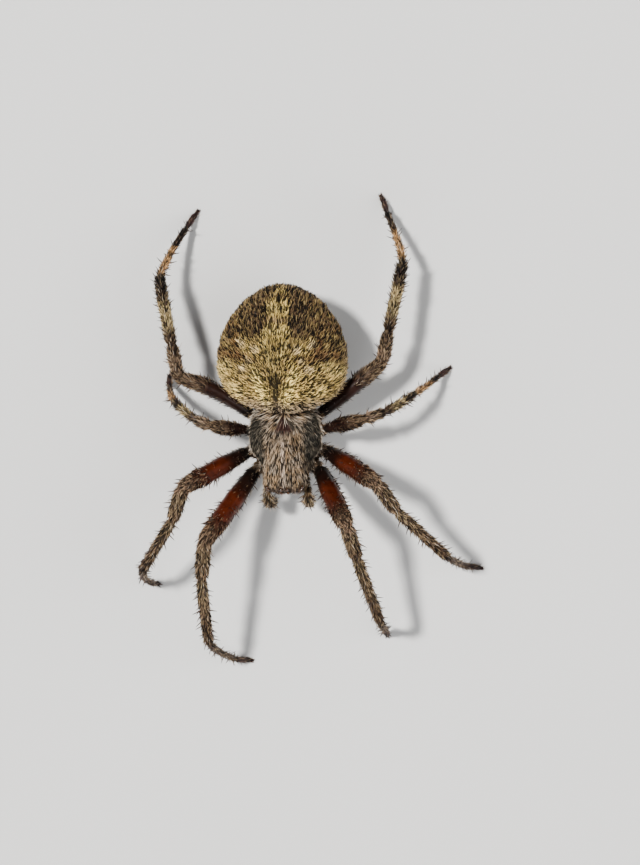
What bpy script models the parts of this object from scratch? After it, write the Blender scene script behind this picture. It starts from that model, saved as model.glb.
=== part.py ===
"""A large female orb weaver spider, life size, standing on the tips of its eight legs.

The head points to -Y, the spider's left side is +X, and Z is up. The floor is at Z = 0.
Sizes are written in millimetres and turned to metres once, as a mesh is made. Every size
runs out to the tips of the short hair that covers the body.
"""

import math

import bmesh
import bpy
from mathutils import Vector

MM = 0.001
UP = Vector((0, 0, 1))
ACROSS = Vector((1, 0, 0))
SIDES = {"right": -1, "left": 1}

# Thin cuts part the body where its pieces are named
JOINT_GAP = 0.05
BODY_GAP = 0.06

# Front of the body (carapace above, sternum below), from the waist to the face:
# place along Y, half width, then the heights of the top, of the widest line and of the underside
PROSOMA = (
    (3.05, 0.30, 4.00, 3.75, 3.45),
    (2.75, 1.50, 4.55, 3.95, 3.15),
    (1.90, 2.45, 5.20, 4.15, 2.98),
    (0.60, 2.76, 5.62, 4.25, 2.92),
    (-0.50, 2.70, 5.80, 4.30, 2.92),
    (-1.45, 2.10, 5.92, 4.35, 2.95),
    (-2.20, 1.80, 6.00, 4.50, 3.25),
    (-3.20, 1.72, 5.92, 4.75, 3.95),
    (-3.70, 1.42, 5.65, 4.90, 4.25),
    (-3.92, 0.60, 5.25, 4.95, 4.55),
)
PROSOMA_RINGS = 22
PROSOMA_SIDES = 26
TOP_FULLNESS = 2.2
UNDER_FULLNESS = 1.45

# Rear of the body
ABDOMEN_FRONT = Vector((-0.05, 2.15, 5.7))
ABDOMEN_LENGTH = 9.65
ABDOMEN_YAW = 2.6
HALF_WIDTH = 4.92
HEIGHT_ABOVE = 4.1
DEPTH_BELOW = 4.05
# Where each outline is fullest, as a share of the length, then how squarely its front and
# its rear round off, and how blunt its rear end is
WIDTH_CURVE = (0.40, 2.4, 1.95, 0.57)
TOP_CURVE = (0.38, 2.2, 2.0, 0.53)
UNDER_CURVE = (0.50, 1.7, 2.0, 0.54)
ABDOMEN_FULLNESS = 2.0
ABDOMEN_RINGS = 24
ABDOMEN_SIDES = 28
# The waist's two ends, each its place along Y and its height
WAIST = ((2.6, 3.75), (4.6, 3.9))
WAIST_GIRTH = 0.9

# Spinnerets: share of the abdomen's length, distance from the midline, length, girth
SPINNERETS = ((0.74, 0.34, 1.0, 0.62), (0.83, 0.26, 0.95, 0.5))
SPINNERET_TILT = 28
# Each starts inside the abdomen, at this share of its depth
SPINNERET_ROOT = 0.82

# Eyes: distance from the midline, place along Y, height, radius
MEDIAN_EYES = {"front": (0.25, -3.90, 5.30, 0.15), "rear": (0.24, -3.62, 5.72, 0.16)}
LATERAL_EYES = ((1.25, -3.63, 5.43, 0.15), (1.34, -3.46, 5.47, 0.15))
EYE_SEGMENTS = 10
EYE_RINGS = 7

# Jaws and palps, right side mirrored to left: distance from the midline, place along Y,
# height, girth
CHELICERA = (
    (0.60, -2.95, 4.60, 0.90),
    (0.62, -3.35, 4.15, 1.12),
    (0.61, -3.70, 3.40, 1.14),
    (0.56, -3.72, 2.60, 0.92),
    (0.50, -3.62, 2.05, 0.50),
)
PALP = (
    (0.62, -2.30, 3.05, 0.62),
    (1.15, -2.65, 3.20, 0.62),
    (1.45, -3.20, 3.75, 0.56),
    (1.58, -3.95, 4.20, 0.62),
    (1.60, -4.50, 4.00, 0.70),
    (1.60, -4.78, 3.40, 0.82),
    (1.55, -4.78, 2.75, 0.80),
    (1.48, -4.70, 2.15, 0.40),
)
PALP_SPLAY = {"right": 0.15, "left": -0.12}
SWEEP_STEPS = 3

# Legs, numbered from the front. Lengths of one side's segments, the same on the other side
SEGMENTS = ("femur", "patella", "tibia", "metatarsus", "tarsus")
LENGTHS = {
    1: (7.50, 2.85, 5.75, 5.05, 1.85),
    2: (6.95, 2.70, 5.70, 4.70, 1.80),
    3: (3.90, 1.70, 2.90, 3.30, 1.50),
    4: (6.25, 2.45, 5.50, 5.05, 1.70),
}
# Girths in the same order, each after its coxa's
GIRTHS = {
    1: (1.10, 1.55, 1.18, 0.98, 0.58, 0.50),
    2: (1.10, 1.48, 1.14, 0.96, 0.56, 0.50),
    3: (1.00, 1.05, 0.92, 0.80, 0.54, 0.50),
    4: (1.10, 1.26, 1.10, 1.02, 0.60, 0.50),
}
# Where each coxa ends: distance from the midline and place along Y
HIPS = {1: (2.48, -2.32), 2: (3.05, -0.92), 3: (2.95, 0.76), 4: (2.65, 1.92)}
HIP_HEIGHT = 3.85
# Its root lies under the body, nearer the midline by these shares of the hip's two places
ROOT_HEIGHT = 3.35
ROOT_SHARE = (0.39, 0.58)

# The stance. Each segment's swing in plan, in degrees from straight out to the side
# (forwards is negative), then the heights of the knee and of the ends of the patella,
# tibia and metatarsus. Every tarsus ends on the floor
STANCE = {
    ("right", 1): ((-57, -83, -90, -120, -166), (8.6, 8.5, 6.0, 1.4)),
    ("left", 1): ((-53, -77, -75, -104, -93), (9.85, 8.9, 6.65, 1.75)),
    ("right", 2): ((-28, -70, -54, -75, -143), (9.1, 8.9, 6.2, 1.71)),
    ("left", 2): ((-25, -58, -47, -62, -15), (8.9, 8.1, 5.75, 1.2)),
    ("right", 3): ((14, 17, 34, 49, 73), (7.0, 6.1, 4.3, 1.3)),
    ("left", 3): ((14, 17, 31, 37, 36), (5.9, 5.5, 3.9, 1.2)),
    ("right", 4): ((30, 81, 78, 114, 122), (5.5, 5.7, 4.1, 1.0)),
    ("left", 4): ((38, 76, 78, 113, 114), (4.6, 5.3, 4.2, 1.1)),
}

# How far the middle of a rear femur curves back
CURVES_BACK = {("right", 4): 0.4}

# Thickness along each segment: share of its length, share of its girth
PROFILES = {
    "coxa": ((0.0, 0.72), (0.45, 0.95), (0.82, 1.0), (1.0, 0.88)),
    "femur": ((0.0, 0.68), (0.14, 0.80), (0.40, 1.0), (0.70, 0.97), (0.90, 0.86), (1.0, 0.78)),
    "patella": ((0.0, 0.90), (0.28, 1.02), (0.70, 1.0), (1.0, 0.84)),
    "tibia": ((0.0, 0.84), (0.14, 1.0), (0.50, 0.95), (0.84, 0.92), (1.0, 0.76)),
    "metatarsus": ((0.0, 1.0), (0.18, 1.03), (0.55, 0.93), (1.0, 0.86)),
    "tarsus": ((0.0, 1.0), (0.35, 1.03), (0.75, 0.96), (1.0, 0.74)),
}
# How far the middle of a segment stands out above its chord
BOWS = {
    "coxa": 0.0,
    "femur": 0.15,
    "patella": 0.06,
    "tibia": 0.08,
    "metatarsus": 0.12,
    "tarsus": 0.04,
}
LEG_SIDES = 10

COLOURS = {
    "cephalothorax": (0.20, 0.16, 0.115),
    "abdomen": (0.36, 0.26, 0.09),
    "coxa": (0.11, 0.07, 0.05),
    "femur": (0.20, 0.05, 0.02),
    "patella": (0.27, 0.19, 0.12),
    "tibia": (0.25, 0.18, 0.11),
    "metatarsus": (0.17, 0.10, 0.07),
    "tarsus": (0.08, 0.045, 0.035),
    "chelicera": (0.10, 0.055, 0.035),
    "palp": (0.22, 0.17, 0.12),
    "eye": (0.015, 0.012, 0.010),
}
HAIR_ROUGHNESS = 0.75
SHELL_ROUGHNESS = 0.35
EYE_ROUGHNESS = 0.08
SHINY = {
    "femur": SHELL_ROUGHNESS,
    "coxa": SHELL_ROUGHNESS,
    "chelicera": SHELL_ROUGHNESS,
    "eye": EYE_ROUGHNESS,
}
SHARP_ANGLE = math.radians(50)


def clear_scene():
    for obj in list(bpy.data.objects):
        bpy.data.objects.remove(obj, do_unlink=True)


def material(kind):
    made = bpy.data.materials.get(kind)
    if made is None:
        made = bpy.data.materials.new(kind)
        made.use_nodes = True
        shader = made.node_tree.nodes["Principled BSDF"]
        shader.inputs["Base Color"].default_value = (*COLOURS[kind], 1)
        shader.inputs["Roughness"].default_value = SHINY.get(kind, HAIR_ROUGHNESS)
        shader.inputs["Metallic"].default_value = 0
    return made


def placed(name, shape, kind, spider):
    """The finished shape as a smooth-shaded object of the spider."""
    mesh = bpy.data.meshes.new(name)
    shape.to_mesh(mesh)
    shape.free()
    mesh.shade_smooth()
    mesh.set_sharp_from_angle(angle=SHARP_ANGLE)
    mesh.materials.append(material(kind))
    obj = bpy.data.objects.new(name, mesh)
    bpy.context.scene.collection.objects.link(obj)
    obj.parent = spider
    return obj


def loft(name, rings, kind, spider, poles=(None, None)):
    """A closed surface through rings of points. Each end takes a flat cap, or a pole point."""
    shape = bmesh.new()
    loops = [[shape.verts.new(point * MM) for point in ring] for ring in rings]
    count = len(loops[0])
    for near, far in zip(loops, loops[1:]):
        for i in range(count):
            j = (i + 1) % count
            shape.faces.new((near[i], near[j], far[j], far[i]))
    for loop, pole, reverse in ((loops[0], poles[0], True), (loops[-1], poles[1], False)):
        around = loop[::-1] if reverse else loop
        if pole is None:
            shape.faces.new(around)
        else:
            tip = shape.verts.new(pole * MM)
            for i in range(count):
                shape.faces.new((around[i], around[(i + 1) % count], tip))
    bmesh.ops.recalc_face_normals(shape, faces=shape.faces)
    return placed(name, shape, kind, spider)


def guide(obj):
    """Marks an object that only cuts or adds to another."""
    obj.hide_render = True
    obj.display_type = "WIRE"
    return obj


def boolean(obj, other, operation):
    modifier = obj.modifiers.new(f"{operation.lower()}_{other.name}", "BOOLEAN")
    modifier.operation = operation
    modifier.object = other


def smooth(rows, share):
    """The row at a share of the way through a table, along one smooth curve through all its rows."""
    place = share * (len(rows) - 1)
    i = min(int(place), len(rows) - 2)
    t = place - i
    before, near = rows[max(i - 1, 0)], rows[i]
    far, after = rows[i + 1], rows[min(i + 2, len(rows) - 1)]
    found = []
    for a, b, c, d in zip(before, near, far, after):
        found.append(
            b + 0.5 * t * (c - a + t * (2 * a - 5 * b + 4 * c - d + t * (3 * (b - c) + d - a)))
        )
    return found


def body_ring(centre, across, half_width, above, below, fullness_above, fullness_below, count):
    """A ring whose upper and lower halves each have their own height and roundness."""
    points = []
    for i in range(count):
        turn = 2 * math.pi * i / count
        side, rise = math.cos(turn), math.sin(turn)
        fullness = fullness_above if rise > 0 else fullness_below
        height = above if rise > 0 else below
        reach = math.copysign(abs(side) ** (2 / fullness), side) * half_width
        lift = math.copysign(abs(rise) ** (2 / fullness), rise) * height
        points.append(centre + across * reach + UP * lift)
    return points


def prosoma(name, kind, spider, grow=0.0):
    rings = []
    for i in range(PROSOMA_RINGS):
        share = i / (PROSOMA_RINGS - 1)
        y, half_width, top, edge, under = smooth(PROSOMA, share)
        y += grow * (1 - 2 * share)
        rings.append(
            body_ring(
                Vector((0, y, edge)),
                ACROSS,
                half_width + grow,
                top - edge + grow,
                edge - under + grow,
                TOP_FULLNESS,
                UNDER_FULLNESS,
                PROSOMA_SIDES,
            )
        )
    return loft(name, rings, kind, spider)


def swell(share, curve):
    """Rises from 0 at the front end to 1 where the curve is fullest, and falls to 0 at the rear."""
    peak, front_power, rear_power, rear_root = curve
    if share < peak:
        return math.sqrt(1 - (1 - share / peak) ** front_power)
    return (1 - ((share - peak) / (1 - peak)) ** rear_power) ** rear_root


def abdomen_point(share, drop=0.0):
    """A point on the abdomen's axis, from 0 at its front to 1 at its rear."""
    turn = math.radians(ABDOMEN_YAW)
    along = Vector((math.sin(turn), math.cos(turn), 0))
    return ABDOMEN_FRONT + along * (share * ABDOMEN_LENGTH) - UP * drop


def underside(share):
    """How far the abdomen hangs below its axis."""
    return DEPTH_BELOW * swell(share, UNDER_CURVE)


def spinneret(name, share, off_midline, length, girth, spider):
    start = abdomen_point(share, underside(share) * SPINNERET_ROOT) + Vector((off_midline, 0, 0))
    tilt = math.radians(SPINNERET_TILT)
    along = Vector((0, math.sin(tilt), -math.cos(tilt)))
    return tube(name, start, start + along * length, girth, PROFILES["tarsus"], 0, "abdomen", spider)


def abdomen(spider, clearance):
    turn = math.radians(ABDOMEN_YAW)
    across = Vector((math.cos(turn), -math.sin(turn), 0))
    rings = []
    for i in range(1, ABDOMEN_RINGS):
        share = 0.5 - 0.5 * math.cos(math.pi * i / ABDOMEN_RINGS)
        rings.append(
            body_ring(
                abdomen_point(share),
                across,
                HALF_WIDTH * swell(share, WIDTH_CURVE),
                HEIGHT_ABOVE * swell(share, TOP_CURVE),
                underside(share),
                ABDOMEN_FULLNESS,
                ABDOMEN_FULLNESS,
                ABDOMEN_SIDES,
            )
        )
    body = loft("abdomen", rings, "abdomen", spider, (abdomen_point(0), abdomen_point(1)))
    front, rear = (Vector((0, y, z)) for y, z in WAIST)
    waist = tube("waist", front, rear, WAIST_GIRTH, PROFILES["metatarsus"], 0, "abdomen", spider)
    boolean(body, guide(waist), "UNION")
    for share, off_midline, length, girth in SPINNERETS:
        for side, sign in SIDES.items():
            name = f"spinneret_{side}_{share:.2f}"
            made = spinneret(name, share, sign * off_midline, length, girth, spider)
            boolean(body, guide(made), "UNION")
    boolean(body, clearance, "DIFFERENCE")


def round_ring(centre, along, level, girth):
    """A round ring across a limb. Its first point lies to the level side."""
    level = (level - along * level.dot(along)).normalized()
    lift = along.cross(level)
    turns = [2 * math.pi * i / LEG_SIDES for i in range(LEG_SIDES)]
    return [centre + (level * math.cos(turn) + lift * math.sin(turn)) * girth / 2 for turn in turns]


def tube(
    name, start, end, girth, profile, bow, kind, spider, side_axis=ACROSS, cuts=(None, None), aside=0
):
    """A limb segment: round rings along a slightly bowed line, each end cut by its joint's plane."""
    chord = end - start
    along = chord.normalized()
    level = (side_axis - along * side_axis.dot(along)).normalized()
    lift = along.cross(level)
    rings = []
    for share, part in profile:
        centre = start + chord * share + (lift * bow + level * aside) * (4 * share * (1 - share))
        ring = round_ring(centre, along, level, girth * part)
        cut = {0.0: cuts[0], 1.0: cuts[1]}.get(share)
        if cut is not None:
            ring = [at - along * ((at - centre).dot(cut) / along.dot(cut)) for at in ring]
        rings.append(ring)
    return loft(name, rings, kind, spider)


def sweep(name, rows, sign, splay, kind, spider):
    """A soft limb along one smooth curve, with rounded ends and a girth that changes along it."""
    steps = (len(rows) - 1) * SWEEP_STEPS
    path = []
    for i in range(steps + 1):
        off_midline, y, z, girth = smooth(rows, i / steps)
        path.append((Vector((sign * off_midline + splay * i / steps, y, z)), girth))
    rings = []
    for i, (centre, girth) in enumerate(path):
        along = (path[min(i + 1, steps)][0] - path[max(i - 1, 0)][0]).normalized()
        rings.append(round_ring(centre, along, ACROSS, girth))
    return loft(name, rings, kind, spider)


def leg_points(side, number):
    """The leg's joints in order: coxa root, hip, knee, ends of patella, tibia, metatarsus, tip."""
    sign = SIDES[side]
    off_midline, y = HIPS[number]
    root = Vector((sign * off_midline * ROOT_SHARE[0], y * ROOT_SHARE[1], ROOT_HEIGHT))
    points = [root, Vector((sign * off_midline, y, HIP_HEIGHT))]
    swings, heights = STANCE[side, number]
    for swing, height, length in zip(swings, (*heights, 0.0), LENGTHS[number]):
        here = points[-1]
        drop = height - here.z
        run = math.sqrt(length**2 - drop**2)
        turn = math.radians(swing)
        step = Vector((sign * math.cos(turn) * run, math.sin(turn) * run, drop))
        points.append(here + step)
    return points


def leg(side, number, spider, clearance):
    points = leg_points(side, number)
    directions = [(b - a).normalized() for a, b in zip(points, points[1:])]
    mitres = [(a + b).normalized() for a, b in zip(directions, directions[1:])]
    planes = [None, *mitres, UP]
    level = UP.cross(points[2] - points[1]).normalized()
    for i, segment in enumerate(("coxa", *SEGMENTS)):
        start = points[i] + directions[i] * (JOINT_GAP / 2)
        end = points[i + 1]
        if segment != SEGMENTS[-1]:
            end = end - directions[i] * (JOINT_GAP / 2)
        piece = tube(
            f"leg_{number}_{side}_{segment}",
            start,
            end,
            GIRTHS[number][i],
            PROFILES[segment],
            BOWS[segment],
            segment,
            spider,
            level,
            (planes[i], planes[i + 1]),
            SIDES[side] * CURVES_BACK.get((side, number), 0) if segment == "femur" else 0,
        )
        if segment in ("coxa", "femur"):
            boolean(piece, clearance, "DIFFERENCE")


def eye_ball(name, off_midline, y, z, radius, spider):
    shape = bmesh.new()
    bmesh.ops.create_uvsphere(
        shape, u_segments=EYE_SEGMENTS, v_segments=EYE_RINGS, radius=radius * MM
    )
    bmesh.ops.translate(shape, verts=shape.verts, vec=Vector((off_midline, y, z)) * MM)
    return placed(name, shape, "eye", spider)


def eyes(spider, clearance):
    for side, sign in SIDES.items():
        for row, (off_midline, y, z, radius) in MEDIAN_EYES.items():
            ball = eye_ball(f"eye_median_{row}_{side}", sign * off_midline, y, z, radius, spider)
            boolean(ball, clearance, "DIFFERENCE")
        (front, rear) = LATERAL_EYES
        pair = eye_ball(f"eyes_lateral_{side}", sign * front[0], *front[1:], spider)
        second = eye_ball(f"second_lateral_{side}", sign * rear[0], *rear[1:], spider)
        boolean(pair, guide(second), "UNION")
        boolean(pair, clearance, "DIFFERENCE")


def stand_at_origin(spider):
    """Moves the whole spider so that the middle of its box, on the floor, is the origin."""
    bpy.context.view_layer.update()
    corners = []
    for obj in bpy.context.scene.objects:
        if obj.type == "MESH" and not obj.hide_render:
            corners.extend(vertex.co for vertex in obj.data.vertices)
    middle = [(min(c[i] for c in corners) + max(c[i] for c in corners)) / 2 for i in (0, 1)]
    spider.location = (-middle[0], -middle[1], 0)


def build():
    clear_scene()
    spider = bpy.data.objects.new("spider", None)
    bpy.context.scene.collection.objects.link(spider)
    prosoma("cephalothorax", "cephalothorax", spider)
    clearance = guide(prosoma("prosoma_clearance", "cephalothorax", spider, BODY_GAP))
    abdomen(spider, clearance)
    for side, sign in SIDES.items():
        for number in LENGTHS:
            leg(side, number, spider, clearance)
        jaw = sweep(f"chelicera_{side}", CHELICERA, sign, 0, "chelicera", spider)
        boolean(jaw, clearance, "DIFFERENCE")
        palp = sweep(f"palp_{side}", PALP, sign, PALP_SPLAY[side], "palp", spider)
        boolean(palp, clearance, "DIFFERENCE")
    eyes(spider, clearance)
    stand_at_origin(spider)


build()
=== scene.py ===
import math

import bmesh
import bpy
import numpy as np
from mathutils import Matrix, Vector
from mathutils.bvhtree import BVHTree


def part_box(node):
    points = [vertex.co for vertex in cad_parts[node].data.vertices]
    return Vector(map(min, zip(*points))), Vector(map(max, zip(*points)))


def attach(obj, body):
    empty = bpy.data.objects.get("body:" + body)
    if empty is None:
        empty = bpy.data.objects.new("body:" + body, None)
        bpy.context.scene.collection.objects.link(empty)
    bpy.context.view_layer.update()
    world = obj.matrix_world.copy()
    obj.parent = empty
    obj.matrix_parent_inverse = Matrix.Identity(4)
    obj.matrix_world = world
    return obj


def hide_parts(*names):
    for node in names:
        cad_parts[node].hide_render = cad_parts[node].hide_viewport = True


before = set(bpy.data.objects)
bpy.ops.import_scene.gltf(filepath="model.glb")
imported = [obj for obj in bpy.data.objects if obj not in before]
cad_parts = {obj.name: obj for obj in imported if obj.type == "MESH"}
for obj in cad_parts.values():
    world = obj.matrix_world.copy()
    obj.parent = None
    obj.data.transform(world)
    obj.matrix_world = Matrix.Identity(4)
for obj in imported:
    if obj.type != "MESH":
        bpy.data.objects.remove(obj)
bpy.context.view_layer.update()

# An orb weaver spider: one skin over the flesh, a coat of short hair in pieces, spines, eyes,
# jaws with fangs, and claws. The head points to -Y. Shapes are worked out in millimetres, and
# each finished mesh is turned to metres.

MM = 0.001
SIDES = {"left": 1, "right": -1}
SEGMENTS = ("coxa", "femur", "patella", "tibia", "metatarsus", "tarsus")
LEGS = [f"leg_{number}_{side}" for number in (1, 2, 3, 4) for side in SIDES]
PALPS = [f"palp_{side}" for side in SIDES]
GROUPS = ["abdomen", "cephalothorax", *LEGS, *PALPS]
LIMB_SIDES = 10
FACE_TO_MIDDLE = 3.92


def length(rows):
    return np.linalg.norm(rows, axis=-1, keepdims=True)


def unit(rows):
    return rows / np.maximum(length(rows), 1e-9)


def falloff(distance, width):
    """1 at no distance, fading to 0 a few widths away."""
    return np.exp(-((distance / width) ** 2))


def step(value, low, high):
    """Rises smoothly from 0 at low to 1 at high."""
    share = np.clip((value - low) / (high - low), 0, 1)
    return share * share * (3 - 2 * share)


def corner(name, which):
    """The low (0) or high (1) corner of a CAD node's box."""
    return np.array(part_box(name)[which]) / MM


def read(items, name, width=3, kind=float):
    """One property of all of a mesh's points, edges, faces or corners."""
    values = np.empty(len(items) * width, kind)
    items.foreach_get(name, values)
    return values.reshape(-1, width) if width > 1 else values


# The middle of the front body at floor level. Places that are listed are measured from it
head_low, head_high = corner("cephalothorax", 0), corner("cephalothorax", 1)
MIDDLE = np.array([(head_low[0] + head_high[0]) / 2, head_low[1] + FACE_TO_MIDDLE, 0.0])

# The abdomen's own axis: across, along and up, from its front end
belly_low, belly_high = corner("abdomen", 0), corner("abdomen", 1)
ABDOMEN_YAW = math.radians(2.6)
ABDOMEN_ALONG = np.array([math.sin(ABDOMEN_YAW), math.cos(ABDOMEN_YAW), 0.0])
ABDOMEN_ACROSS = np.array([math.cos(ABDOMEN_YAW), -math.sin(ABDOMEN_YAW), 0.0])
ABDOMEN_LENGTH = (belly_high[1] - belly_low[1]) / math.cos(ABDOMEN_YAW)
WIDEST_SHARE = 0.40
AXIS_SHARE = 0.497
ABDOMEN_FRONT = np.array(
    [
        (belly_low[0] + belly_high[0]) / 2
        - WIDEST_SHARE * ABDOMEN_LENGTH * math.sin(ABDOMEN_YAW),
        belly_low[1],
        belly_low[2] + AXIS_SHARE * (belly_high[2] - belly_low[2]),
    ]
)


def solid(name):
    """A CAD node's points, doubles merged, and its triangles."""
    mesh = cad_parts[name].data
    points = read(mesh.vertices, "co") / MM
    corners = read(mesh.loops, "vertex_index", 1, int)
    _, first, merged = np.unique(
        np.round(points, 3), axis=0, return_index=True, return_inverse=True
    )
    faces = merged.reshape(-1)[corners].reshape(-1, 3)
    kept = (faces != np.roll(faces, 1, axis=1)).all(axis=1)
    return points[first], faces[kept]


def grown(points, faces, by):
    """The points moved outwards."""
    spans = points[faces]
    across = np.cross(spans[:, 1] - spans[:, 0], spans[:, 2] - spans[:, 0])
    total = np.zeros_like(points)
    for i in range(3):
        np.add.at(total, faces[:, i], across)
    return points + unit(total) * by


def joint_line(leg):
    """A leg's joints from the coxa's root to the tip: the middles of the rings that meet."""
    shells = [solid(f"{leg}_{segment}")[0] for segment in SEGMENTS]
    middles = [points.mean(axis=0) for points in shells]

    def end_of(points, towards):
        order = np.argsort(points @ towards)
        return points[order[-LIMB_SIDES:]].mean(axis=0)

    joints = [end_of(shells[0], middles[0] - middles[1])]
    for near, far, a, b in zip(shells, shells[1:], middles, middles[1:]):
        joints.append((end_of(near, b - a) + end_of(far, a - b)) / 2)
    joints.append(end_of(shells[-1], np.array([0, 0, -1.0])))
    return np.array(joints)


# The palps' middle lines, right side mirrored to left, measured from the middle of the body
PALP_LINE = np.array(
    [
        (0.62, -2.30, 3.05),
        (1.15, -2.65, 3.20),
        (1.45, -3.20, 3.75),
        (1.58, -3.95, 4.20),
        (1.60, -4.50, 4.00),
        (1.60, -4.78, 3.40),
        (1.55, -4.78, 2.75),
        (1.48, -4.70, 2.15),
    ]
)
PALP_SPLAY = {"right": 0.15, "left": -0.12}


def palp_line(side):
    line = PALP_LINE * np.array([SIDES[side], 1, 1]) + MIDDLE
    line[:, 0] += PALP_SPLAY[side] * np.linspace(0, 1, len(line))
    return line


LINES = {leg: joint_line(leg) for leg in LEGS}
LINES.update({f"palp_{side}": palp_line(side) for side in SIDES})


def beside(places, line):
    """Where each place is along a line in spans, the line's nearest point and its heading."""
    best = np.full(len(places), np.inf)
    along = np.zeros(len(places))
    near = np.zeros_like(places)
    heading = np.zeros_like(places)
    for i, (a, b) in enumerate(zip(line, line[1:])):
        span = b - a
        share = np.clip((places - a) @ span / (span @ span), 0, 1)
        foot = a + share[:, None] * span
        gap = length(places - foot)[:, 0]
        closer = gap < best
        best[closer] = gap[closer]
        along[closer] = (i + share)[closer]
        near[closer] = foot[closer]
        heading[closer] = unit(span)
    return along, near, heading


def limb_place(places, limb):
    """Along the limb from 0 to 6, facing its back from -1 to 1, turn round it, and heading."""
    line = LINES[limb]
    along, near, heading = beside(places, line)
    back = unit(np.array([0, 0, 1.0]) - heading * heading[:, 2:])
    aside = np.cross(heading, back)
    out = unit(places - near)
    facing = (out * back).sum(axis=1)
    turn = np.arctan2((out * aside).sum(axis=1), facing) / (2 * math.pi) + 0.5
    return along * 6 / (len(line) - 1), facing, turn, heading


def body_place(places, group):
    """A body's own coordinates: across, along (as a share on the abdomen) and up."""
    if group == "abdomen":
        away = places - ABDOMEN_FRONT
        return away @ ABDOMEN_ACROSS, away @ ABDOMEN_ALONG / ABDOMEN_LENGTH, away[:, 2]
    away = places - MIDDLE
    return away[:, 0], away[:, 1], away[:, 2]


PALP_NUMBER = 5


def number_of(limb):
    """A leg's number from the front, or the palps' own."""
    return PALP_NUMBER if limb in PALPS else int(limb.split("_")[1])


# ---------------------------------------------------------------- meshes


def new_mesh(name, points, faces):
    mesh = bpy.data.meshes.new(name)
    mesh.from_pydata(points, [], faces)
    return mesh


def shown(name, mesh):
    obj = bpy.data.objects.new(name, mesh)
    bpy.context.scene.collection.objects.link(obj)
    return obj


def write_attribute(mesh, name, values):
    kind, field = ("FLOAT_VECTOR", "vector") if values.ndim == 2 else ("FLOAT", "value")
    old = mesh.attributes.get(name)
    if old:
        mesh.attributes.remove(old)
    made = mesh.attributes.new(name, kind, "POINT")
    made.data.foreach_set(field, np.ascontiguousarray(values, np.float32).ravel())


def evaluated_mesh(obj):
    """The object's mesh with its modifiers applied, as a new plain mesh."""
    graph = bpy.context.evaluated_depsgraph_get()
    return bpy.data.meshes.new_from_object(
        obj.evaluated_get(graph), preserve_all_data_layers=True, depsgraph=graph
    )


def remeshed(name, points, faces, voxel):
    """One closed surface of even squares around all of the shapes."""
    obj = shown(name, new_mesh(name, points, faces))
    modifier = obj.modifiers.new("surface", "REMESH")
    modifier.mode = "VOXEL"
    modifier.voxel_size = voxel
    mesh = evaluated_mesh(obj)
    bpy.data.objects.remove(obj)
    return mesh


def averaged(values, edges, rounds, weight=0.5):
    """Each value drawn towards the mean of its neighbours'."""
    ends = np.concatenate([edges, edges[:, ::-1]])
    count = np.bincount(ends[:, 0], minlength=len(values))[:, None]
    flat = values.reshape(len(values), -1)
    for _ in range(rounds):
        total = np.stack(
            [
                np.bincount(ends[:, 0], weights=column[ends[:, 1]], minlength=len(values))
                for column in flat.T
            ],
            axis=1,
        )
        flat = flat + weight * (total / count - flat)
    return flat.reshape(values.shape)


def relaxed(points, edges, rounds):
    """Bumps of a few squares smoothed away with little loss of size."""
    for _ in range(rounds):
        points = averaged(points, edges, 1, 0.55)
        points = averaged(points, edges, 1, -0.5)
    return points


def set_points(mesh, points):
    mesh.vertices.foreach_set("co", np.ascontiguousarray(points, np.float32).ravel())
    mesh.update()


def finish(obj, slot, *nodes):
    """Turns a piece to metres, hangs it under the root body, and hides the CAD nodes it stands in
    for.
    """
    obj.data.transform(Matrix.Scale(MM, 4))
    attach(obj, "root")
    if nodes:
        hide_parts(*nodes)
    return obj


# ---------------------------------------------------------------- nodes and finishes


def operator(kind, turned=False):
    """Arithmetic between a wire and another wire or a number, as a Math node."""

    def apply(self, other):
        return self.math(kind, *((other, self) if turned else (self, other)))

    return apply


class Wire:
    """A node's output, with arithmetic."""

    def __init__(self, graph, made, output=0):
        self.graph = graph
        self.made = made
        self.socket = made.outputs[output] if made.outputs else None

    def __getitem__(self, output):
        return Wire(self.graph, self.made, output)

    def math(self, operation, *values):
        return self.graph.node(
            "ShaderNodeMath", {"operation": operation}, dict(enumerate(values))
        )

    def __abs__(self):
        return self.math("ABSOLUTE", self)

    __add__ = __radd__ = operator("ADD")
    __sub__ = operator("SUBTRACT")
    __rsub__ = operator("SUBTRACT", turned=True)
    __mul__ = __rmul__ = operator("MULTIPLY")
    __truediv__ = operator("DIVIDE")
    __pow__ = operator("POWER")


class Graph:
    """A node tree, with one way to add a node, set it up and feed its sockets."""

    def __init__(self, tree):
        self.tree = tree

    def node(self, kind, settings=None, sockets=None, output=0):
        made = self.tree.nodes.new(kind)
        for name, value in (settings or {}).items():
            if name == "stops":
                ramp = made.color_ramp.elements
                while len(ramp) < len(value):
                    ramp.new(1)
                for element, (place, colour) in zip(ramp, value):
                    element.position = place
                    element.color = (*colour, 1) if len(colour) == 3 else colour
            else:
                setattr(made, name, value)
        for key, value in (sockets or {}).items():
            self.feed(made.inputs[key], value)
        return Wire(self, made, output)

    def feed(self, socket, value):
        if isinstance(value, Wire):
            self.tree.links.new(value.socket, socket)
        elif socket.type == "RGBA" and len(value) == 3:
            socket.default_value = (*value, 1)
        else:
            socket.default_value = value

    def vector(self, operation, *values):
        output = "Value" if operation in ("DOT_PRODUCT", "LENGTH", "DISTANCE") else 0
        return self.node(
            "ShaderNodeVectorMath", {"operation": operation}, dict(enumerate(values)), output
        )

    def scaled(self, vector, by):
        """A vector or a colour times a number."""
        return self.node("ShaderNodeVectorMath", {"operation": "SCALE"}, {0: vector, "Scale": by})


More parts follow.
